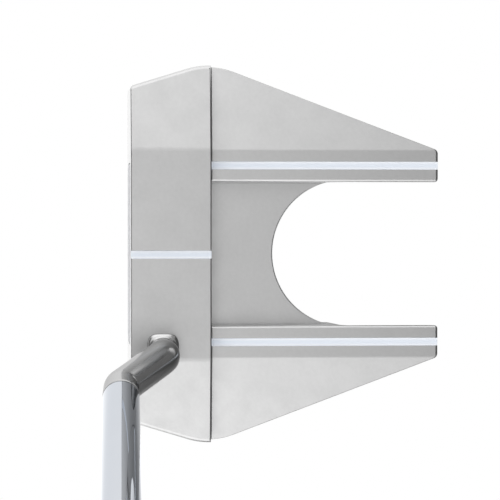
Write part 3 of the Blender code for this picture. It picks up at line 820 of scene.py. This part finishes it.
def build_frame(metal):
    """Rear frame: two wings, the channel's floor and the tongue in one body, then its cuts."""
    body = rounded_piece("rear_frame_skin", floor_mesh(), metal, floor_rounding, 2)
    for _, side in SIDES:
        wing = rounded_piece("wing", wing_mesh(side), metal, wing_rounding)
        apply_modifiers(wing)
        boolean(body, wing, "UNION")
    tongue = rectangle(-TONGUE_HALF_X, TONGUE_HALF_X, TONGUE_FRONT_Y, BAR_REAR_Y + 6 * MM)
    boolean(body, prism("tongue", tongue, 2 * HAIR, TONGUE_THICKNESS), "UNION")
    rows = narrowing(SCREW_HEAD_BORE, 2.6 * MM, SCREW_BORE, 11.6 * MM)
    for x in TONGUE_SCREW_X:
        bore(body, x, TONGUE_SCREW_Y, rows, lead=0.25 * MM)
    pocket = rounded_rectangle(POCKET_WIDTH, POCKET_LENGTH, POCKET_CORNER)
    for _, side in SIDES:
        outline = [(x - side * POCKET_X, y + POCKET_Y) for x, y in pocket]
        boolean(body, prism("wing_pocket", outline, -POCKET_DEPTH, -0.2 * MM, place=UNDER, flare=0.5 * MM))
        near_wall = sorted((side * (RAIL_X - RELIEF_WIDTH), side * (RAIL_X + HAIR)))
        outline = rectangle(*near_wall, SEAM_Y - MM, DRAFT_START_Y)
        boolean(body, prism("relief", outline, FLOOR_TOP_Z - RELIEF_DEPTH, FLOOR_TOP_Z + OVER))
        boolean(body, groove(side * RAIL_LINE_X, RAIL_TOP_Z, SEAM_Y, REAR_END_Y))
    settle(body)
    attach(body, "club")
    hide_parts("rear_frame")


def build_lines(paint):
    """Paint strips in the centre line's groove and in the two rail grooves."""
    inset = 0.08 * MM
    rows = [("centre", 0.0, BAR_TOP_Z, face_y(BAR_TOP_Z - LINE_DEPTH) + inset, BAR_REAR_Y - inset)]
    for end, side in SIDES:
        rows.append((end, side * RAIL_LINE_X, RAIL_TOP_Z, SEAM_Y + inset, REAR_END_Y - inset))
    for end, x, top_z, y0, y1 in rows:
        strip = line_strip(f"{end}_line_paint", x, top_z, y0, y1, paint)
        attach(strip, "club")
        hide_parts(f"{end}_line_fill")


def build_insert(polymer):
    """The insert with shallow horizontal grooves across its face."""
    outline = rounded_rectangle(INSERT_WIDTH, INSERT_HEIGHT, INSERT_CORNER)
    ease = 0.25 * MM
    levels = ((0.0, -ease), (ease, 0.0), (INSERT_THICKNESS - ease, 0.0), (INSERT_THICKNESS, -ease))
    bm = skin(stack(outline, levels))
    bmesh.ops.recalc_face_normals(bm, faces=bm.faces)
    pitch = (INSERT_HEIGHT - 3.4 * MM) / (INSERT_LINES - 1)
    for i in range(INSERT_LINES):
        level = (i - (INSERT_LINES - 1) / 2) * pitch
        for shift in (-0.3 * MM, 0.0, 0.3 * MM):
            bmesh.ops.bisect_plane(
                bm,
                geom=[*bm.verts, *bm.edges, *bm.faces],
                plane_co=(0.0, level + shift, 0.0),
                plane_no=(0.0, 1.0, 0.0),
                dist=1e-7,
            )
        for vert in bm.verts:
            if near(vert.co.y, level, 1e-6) and vert.co.z > INSERT_THICKNESS - ease / 2:
                vert.co.z -= 0.22 * MM
    bm.transform(face_frame(INSERT_THICKNESS))
    insert = finish_mesh("face_insert_skin", bm, polymer, sharp=25.0)
    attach(insert, "club")
    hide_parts("face_insert")


def build_sole_plate(metal):
    """Stainless plate with eased lower edges and four counterbored holes."""
    outline = rectangle(-PLATE_HALF_X, PLATE_HALF_X, ROW_Y - PLATE_REACH, ROW_Y + PLATE_REACH)
    ease = 0.35 * MM
    levels = ((0.0, -ease), (ease, 0.0), (PLATE_THICKNESS, 0.0))
    plate = finish_mesh("sole_plate_skin", skin(stack(outline, levels)), metal)
    rows = narrowing(2.7 * MM, 2.2 * MM, PLATE_BORE, 9.2 * MM)
    for x in PLATE_SCREW_X:
        bore(plate, x, ROW_Y, rows, lead=0.2 * MM)
    apply_modifiers(plate, sharp=32.0)
    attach(plate, "club")
    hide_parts("sole_plate")


def build_screws(metal):
    """Plate screws, frame screws and the neck's screw, each seated a little below the sole."""
    jobs = []
    for number, x in enumerate(PLATE_SCREW_X, start=1):
        jobs.append((f"sole_plate_screw_{number}", upward(x, ROW_Y), 2.4, 1.6, 1.25, 7.0))
    for number, x in enumerate(TONGUE_SCREW_X, start=1):
        jobs.append((f"frame_screw_{number}", upward(x, TONGUE_SCREW_Y), 2.75, 2.0, 1.5, 9.0))
    foot = upward(NECK_BASE.x, NECK_BASE.y, 5.7 * MM)
    jobs.append(("hosel_screw", foot, 2.75, 2.5, 1.5, 13.8))
    for node, place, *sizes in jobs:
        sizes = [size * MM for size in sizes]
        screw = socket_screw(node + "_skin", place @ upward(0.0, 0.0, FIT), *sizes, metal)
        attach(screw, "club")
        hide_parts(node)


def build_weights(metal):
    for end, side in SIDES:
        place = upward(side * WEIGHT_X, ROW_Y, FIT)
        weight = socket_screw(f"weight_{end}_skin", place, 7.7 * MM, 5.0 * MM, 4.5 * MM, 7.4 * MM, metal)
        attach(weight, f"{end}_weight")
        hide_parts(f"weight_{end}")


# ---- neck, shaft and grip


def rounded_path(points, radii, bend, steps):
    """Points and radii along straight legs whose bends are arcs of the given radii."""
    path = [(points[0], radii[0])]
    for i in range(1, len(points) - 1):
        before = (points[i] - points[i - 1]).normalized()
        after = (points[i + 1] - points[i]).normalized()
        half = before.angle(after) / 2
        reach = bend[i - 1] * math.tan(half)
        start = points[i] - before * reach
        inward = (after - before).normalized()
        centre = points[i] + inward * (bend[i - 1] / math.cos(half))
        spin = before.cross(after).normalized()
        for j in range(steps + 1):
            turn = Matrix.Rotation(2 * half * j / steps, 3, spin)
            path.append((centre + turn @ (start - centre), radii[i]))
    path.append((points[-1], radii[-1]))
    return path


def superellipse(angle, power, first=1.0, second=1.0):
    """Reach at an angle from the first half axis; power 2 is an ellipse, and more is squarer."""
    return (abs(math.cos(angle) / first) ** power + abs(math.sin(angle) / second) ** power) ** (-1.0 / power)


def flange_profile():
    """Pairs of outward share and height: an upright lip, a rounded shoulder, a hollow fillet."""
    quarter = between(0.0, math.pi / 2, 7)[1:]
    rows = [(1.0, 0.05 * MM), (1.0, FLANGE_LIP)]
    for angle in quarter:
        height = FLANGE_LIP + FLANGE_ROUND * math.sin(angle)
        rows.append((1.0 - SHOULDER_SHARE * (1.0 - math.cos(angle)), height))
    for angle in quarter:
        height = FLANGE_LIP + FLANGE_ROUND * (2.0 - math.cos(angle))
        rows.append(((1.0 - SHOULDER_SHARE) * (1.0 - math.sin(angle)), height))
    return rows


def sweep(path, segments):
    """Rings square to the path, carried along without twist; each has its own squareness."""
    side = Vector((0.0, 1.0, 0.0))
    rings = []
    for i, (point, radius, power) in enumerate(path):
        before = (point - path[i - 1][0]) if i > 0 else (path[1][0] - point)
        after = (path[i + 1][0] - point) if i + 1 < len(path) else before
        along = (before.normalized() + after.normalized()).normalized()
        side = (side - along * side.dot(along)).normalized()
        other = along.cross(side)
        ring = []
        for angle in turns(segments):
            spoke = side * math.cos(angle) + other * math.sin(angle)
            ring.append(point + spoke * (radius * superellipse(angle, power)))
        rings.append(ring)
    return rings


def foot_rings(segments):
    """The tenon below the crown, then the flange, whose lip follows the crown's fall."""
    spokes = [Vector((-math.sin(turn), math.cos(turn), 0.0)) for turn in turns(segments)]
    rings = []
    for radius, height in ((TENON_RADIUS - 0.4 * MM, -12.7), (TENON_RADIUS, -12.3), (TENON_RADIUS, -1.0)):
        level = NECK_BASE + Vector((0.0, 0.0, height * MM))
        rings.append([level + spoke * radius for spoke in spokes])
    for share, height in flange_profile():
        lift = height / FLANGE_HEIGHT
        ring = []
        for turn, spoke in zip(turns(segments), spokes):
            reach = superellipse(turn, FLANGE_POWER, FLANGE_HALF_Y, FLANGE_HALF_X)
            point = NECK_BASE + spoke * (POST_RADIUS + (reach - POST_RADIUS) * share)
            point.z = crown(BAR_TOP_Z, point.x) * (1.0 - lift) + BAR_TOP_Z * lift + height
            ring.append(point)
        rings.append(ring)
    return rings


def neck_path():
    """Points, radii and squareness from the foot, round both bends, to the spigot's end."""
    low = NECK_BASE + Vector((0.2 * MM, 0.0, FLANGE_HEIGHT + 0.3 * MM))
    corners = [low, NECK_BEND, RIM_CENTRE - AXIS * COLLAR_LENGTH, RIM_CENTRE - AXIS * 1.2 * MM]
    middle = TIP_RADIUS - 0.15 * MM
    bends = rounded_path(corners, [POST_RADIUS, POST_RADIUS, middle, TIP_RADIUS], NECK_BENDS, BEND_STEPS)
    leg = BEND_STEPS + 1
    start, end = bends[leg][0], bends[leg + 1][0]
    bends[leg + 1 : leg + 1] = [(start.lerp(end, i / LEG_STEPS), middle) for i in range(1, LEG_STEPS)]
    path = [(point, radius, 2.0) for point, radius in bends]
    path[0] = (low, POST_RADIUS, 2.0 + POST_SQUARENESS)
    # The squared post grows into the round neck along the first bend and the straight leg after it
    travelled = 0.0
    for i in range(1, leg + LEG_STEPS):
        point = path[i][0]
        travelled += (point - path[i - 1][0]).length
        grown = smooth_step(travelled / POST_GROWTH)
        radius = POST_RADIUS + (middle - POST_RADIUS) * grown
        path[i] = (point, radius, 2.0 + POST_SQUARENESS * (1.0 - grown))
    for height, radius in (
        (-0.35 * MM, TIP_RADIUS),
        (-0.1 * MM, TIP_RADIUS - 0.08 * MM),
        (0.0, TIP_RADIUS - 0.35 * MM),
        (0.01 * MM, SPIGOT_RADIUS),
        (SPIGOT_LENGTH - MM, SPIGOT_RADIUS),
        (SPIGOT_LENGTH, SPIGOT_RADIUS - MM),
    ):
        path.append((RIM_CENTRE + AXIS * height, radius, 2.0))
    return path


def build_neck(steel):
    """Bent neck with a flange that follows the crown, and the spigot inside the shaft."""
    segments = 96
    rings = foot_rings(segments) + sweep(neck_path(), segments)
    neck = finish_mesh("neck_skin", skin(rings), steel, sharp=50.0)
    bore(neck, NECK_BASE.x, NECK_BASE.y, [(SCREW_BORE, 8.0 * MM), (SCREW_BORE, 22.6 * MM)])
    apply_modifiers(neck, sharp=50.0)
    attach(neck, "club")
    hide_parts("hosel")


def build_shaft(chrome):
    """Stepped tube: each step is a short cone with eased ends."""
    radius = TIP_RADIUS
    tip = 0.6 * MM
    ease = 0.3 * MM
    lift = STEP_HEIGHT * 0.06
    outside = [(radius - 0.25 * MM, tip), (radius - 0.06 * MM, tip + 0.06 * MM), (radius, tip + ease)]
    for i in range(STEP_COUNT):
        start = STEP_START + i * STEP_PITCH
        end = start + STEP_CONE
        outside += [(radius, start - ease), (radius + lift, start + ease)]
        radius += STEP_HEIGHT
        outside += [(radius - lift, end - ease), (radius, end + ease)]
    outside.append((radius, BUTT))
    inside = [(radius - WALL, BUTT), (TIP_RADIUS - WALL, STEP_START), (TIP_RADIUS - WALL, tip)]
    place = axis_frame(RIM_CENTRE, AXIS, THUMB_SIDE)
    shaft = turned("shaft_skin", outside + inside, chrome, place, segments=128, closed=True, sharp=45.0)
    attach(shaft, "club")
    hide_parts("shaft")


def grip_section(t):
    width = 9.6 * MM + 3.6 * MM * smooth_step(t / 0.75)
    thumb = 9.4 * MM + 1.0 * MM * smooth_step(t / 0.6)
    palm = 9.6 * MM + 2.4 * MM * smooth_step(t / 0.6)
    palm += 6.6 * MM * smooth_step((t - 0.55) / 0.3)
    palm -= 2.5 * MM * smooth_step((t - 0.88) / 0.12)
    return width, thumb, palm


def grip_relief(t, angle):
    """Depth of the moulded pattern: slanted ribs round the palm, short bars on the thumb flat."""
    along = t * GRIP_LENGTH
    fade = smooth_step((t - 0.04) / 0.03) * smooth_step((0.95 - t) / 0.03)
    if math.cos(angle) > 0.62:
        wave = math.cos(math.tau * along / (6.0 * MM))
        cell = smooth_step((0.34 - abs(angle if angle < math.pi else angle - math.tau)) / 0.1)
        return fade * cell * 0.3 * MM * smooth_step((wave - 0.1) / 0.5)
    first = math.cos(math.tau * along / (5.0 * MM) + 14 * angle)
    second = math.cos(math.tau * along / (5.0 * MM) - 14 * angle)
    edge = smooth_step((0.55 - math.cos(angle)) / 0.15)
    return fade * edge * 0.32 * MM * smooth_step((max(first, second) - 0.45) / 0.4)


def grip_ring(t, height, shrink=0.0, relief=False):
    width, thumb, palm = grip_section(t)
    flat = thumb - shrink
    rounded = (thumb + 1.8 * MM) - shrink
    ring = []
    for angle in turns(GRIP_SEGMENTS):
        cut = grip_relief(t, angle) if relief else 0.0
        reach = rounded if math.cos(angle) > 0.0 else palm - shrink
        x = min(reach * math.cos(angle), flat)
        y = (width - shrink) * math.sin(angle)
        scale = 1.0 - cut / math.hypot(x, y)
        ring.append((x * scale, y * scale, height))
    return ring


def round_ring(radius, height):
    return [(radius * math.cos(angle), radius * math.sin(angle), height) for angle in turns(GRIP_SEGMENTS)]


def along_shaft(name, rings, mat, sharp):
    """Tube wall through rings that are given in the shaft's own frame."""
    bm = skin(rings, closed=True)
    bm.transform(axis_frame(RIM_CENTRE, AXIS, THUMB_SIDE))
    return finish_mesh(name, bm, mat, sharp)


def build_grip(rubber):
    """Pistol grip: a rolled mouth, the patterned length and a rounded butt, bored for the shaft."""
    mouth = BUTT - GRIP_LENGTH
    rings = [round_ring(GRIP_BORE, mouth)]
    for angle in between(0.0, math.pi / 2, 3):
        shrink = 0.8 * MM * (1.0 - math.sin(angle))
        rings.append(grip_ring(0.0, mouth + 1.2 * MM * (1.0 - math.cos(angle)), shrink))
    for t in between(0.0, 1.0, 300)[2:-3]:
        rings.append(grip_ring(t, mouth + t * GRIP_LENGTH, relief=True))
    for angle in between(0.0, math.pi / 2, 3):
        shrink = 1.0 * MM * (1.0 - math.cos(angle))
        rings.append(grip_ring(1.0, BUTT - 1.2 * MM * (1.0 - math.sin(angle)), shrink))
    rings.append(round_ring(GRIP_BORE, BUTT))
    grip = along_shaft("grip_skin", rings, rubber, 70.0)
    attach(grip, "club")
    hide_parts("grip")


def build_cap(rubber):
    """Domed butt cap with a vent hole and a moulded ring round it."""
    vent = 1.2 * MM
    low = BUTT + 0.3 * MM
    top = low + 2.7 * MM
    rings = [round_ring(vent, low), grip_ring(1.0, low, 1.6 * MM)]
    rings.append(grip_ring(1.0, low + 0.3 * MM, 1.25 * MM))
    for angle in between(0.0, math.pi / 2, 6):
        shrink = 1.25 * MM + 2.75 * MM * (1.0 - math.cos(angle))
        rings.append(grip_ring(1.0, top - 1.9 * MM * (1.0 - math.sin(angle)), shrink))
    for shrink, drop in ((5.2, 0.0), (5.5, 0.3), (6.1, 0.3), (6.4, 0.0)):
        rings.append(grip_ring(1.0, top - drop * MM, shrink * MM))
    rings.append(round_ring(vent + 0.5 * MM, top))
    rings.append(round_ring(vent, top - 0.4 * MM))
    cap = along_shaft("grip_cap_skin", rings, rubber, 50.0)
    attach(cap, "club")
    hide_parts("grip_cap")


# ---- stage


def ramp_node(tree, source, stops, span=1.0):
    """Ramp over -span..span of the source; the stops are (share of the span, brightness)."""
    spread = set_inputs(new_node(tree, "ShaderNodeMapRange", source), From_Min=-span, From_Max=span)
    ramp = new_node(tree, "ShaderNodeValToRGB", spread.outputs["Result"])
    ramp.color_ramp.interpolation = "LINEAR"
    elements = ramp.color_ramp.elements
    while len(elements) < len(stops):
        elements.new(0.5)
    for element, (component, brightness) in zip(elements, stops):
        element.position = (component + 1.0) / 2
        element.color = (brightness, brightness, brightness, 1.0)
    return ramp.outputs["Color"]


def mix_shaders(tree, factor, first, second):
    """The first shader where the factor is 0, and the second where it is 1."""
    return new_node(tree, "ShaderNodeMixShader", factor, first, second).outputs["Shader"]


def build_light():
    """Broad soft light, dimmer overhead and fading before and behind; the camera itself sees white."""
    world = bpy.data.worlds.new("studio")
    bpy.context.scene.world = world
    world.use_nodes = True
    tree = world.node_tree
    new = tree.nodes.new
    parts = new_node(tree, "ShaderNodeSeparateXYZ", new("ShaderNodeTexCoord").outputs["Generated"])
    sideways = parts.outputs["X"]
    across = ramp_node(tree, sideways, ACROSS)
    spread = set_inputs(new_node(tree, "ShaderNodeCombineXYZ", sideways), Y=OVERHEAD_SPREAD)
    length = new_node(tree, "ShaderNodeVectorMath", spread.outputs["Vector"], operation="LENGTH")
    ahead, aside = parts.outputs["Y"], length.outputs["Value"]
    ratio = new_node(tree, "ShaderNodeMath", ahead, aside, operation="DIVIDE")
    along = ramp_node(tree, ratio.outputs["Value"], ALONG)
    product = new_node(tree, "ShaderNodeVectorMath", across, along, operation="MULTIPLY")
    lit = set_inputs(tree.nodes["Background"], Strength=LIGHT_STRENGTH)
    tree.links.new(product.outputs["Vector"], lit.inputs["Color"])
    plain = set_inputs(new("ShaderNodeBackground"), Color=(1.0, 1.0, 1.0, 1.0))
    to_camera = new("ShaderNodeLightPath").outputs["Is Camera Ray"]
    sky = mix_shaders(tree, to_camera, lit.outputs["Background"], plain.outputs["Background"])
    tree.links.new(sky, tree.nodes["World Output"].inputs["Surface"])


def build_floor():
    """Plain white to the camera and clear from below; other rays see a glow that fades to the rear."""
    bm = bmesh.new()
    bmesh.ops.create_grid(bm, x_segments=24, y_segments=24, size=12.0)
    bmesh.ops.translate(bm, verts=bm.verts, vec=(0.0, 0.0, -0.1 * MM))
    mesh = bpy.data.meshes.new("floor")
    bm.to_mesh(mesh)
    bm.free()
    floor = new_object("floor", mesh)
    mat = bpy.data.materials.new("pale_floor")
    mesh.materials.append(mat)
    mat.use_nodes = True
    tree = mat.node_tree
    new = tree.nodes.new
    paper = tree.nodes["Principled BSDF"]
    set_inputs(paper, Base_Color=(0.15, 0.15, 0.15, 1.0), Roughness=0.9)
    set_inputs(paper, Specular_IOR_Level=0.1, Emission_Strength=1.0)
    ground = new("ShaderNodeTexCoord").outputs["Object"]
    place = new_node(tree, "ShaderNodeVectorMath", ground, operation="DOT_PRODUCT")
    place.inputs[1].default_value = FLOOR_SLANT
    glow = ramp_node(tree, place.outputs["Value"], FLOOR_GLOW, FLOOR_SPAN)
    tree.links.new(glow, paper.inputs["Emission Color"])
    to_camera = new("ShaderNodeLightPath").outputs["Is Camera Ray"]
    white = new("ShaderNodeEmission").outputs["Emission"]
    seen = mix_shaders(tree, to_camera, paper.outputs["BSDF"], white)
    from_below = new("ShaderNodeNewGeometry").outputs["Backfacing"]
    surface = mix_shaders(tree, from_below, seen, new("ShaderNodeBsdfTransparent").outputs["BSDF"])
    tree.links.new(surface, tree.nodes["Material Output"].inputs["Surface"])


def build_camera():
    data = bpy.data.cameras.new("camera")
    data.lens = 155.234
    data.sensor_width = 36.0
    camera = new_object("camera", data)
    camera.location = Vector((-16.62, -14.51, 665.42)) * MM
    camera.rotation_euler = Euler((-0.0238516, -0.0596225, 1.5713295), "XYZ")
    bpy.context.scene.camera = camera
    bpy.context.scene.view_settings.view_transform = "Standard"


def dress_kept_nodes(adhesive, washer_polymer):
    """The tapes and washers keep their CAD shape and get their own materials."""
    dress = {"insert_tape": adhesive, "grip_tape": adhesive}
    for end, _ in SIDES:
        dress[f"weight_washer_{end}"] = washer_polymer
    for node, mat in dress.items():
        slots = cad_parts[node].data.materials
        slots.clear()
        slots.append(mat)


def main():
    build_camera()
    build_light()
    build_floor()
    head_metal = blasted_metal("blasted_aluminium", 0.55, 0.30, 0.36)
    build_bar(head_metal)
    build_frame(head_metal)
    build_lines(line_paint())
    build_insert(speckled_polymer())
    build_sole_plate(satin_steel("plate_steel", 0.62, 0.22, 0.36, (0.05, 1.0, 1.0)))
    build_screws(satin_steel("screw_steel", 0.38, 0.28, 0.42, (1.0, 1.0, 0.1)))
    build_weights(satin_steel("weight_metal", 0.42, 0.25, 0.40, (1.0, 1.0, 0.1)))
    build_neck(polished_steel("neck_steel", 0.52, 0.15, 0.21))
    build_shaft(chrome_plate())
    build_grip(moulded_rubber("grip_rubber", 0.022, 0.05 * MM))
    build_cap(moulded_rubber("cap_rubber", 0.03, 0.03 * MM))
    dress_kept_nodes(tape(), moulded_rubber("washer_polymer", 0.045, 0.02 * MM))


main()
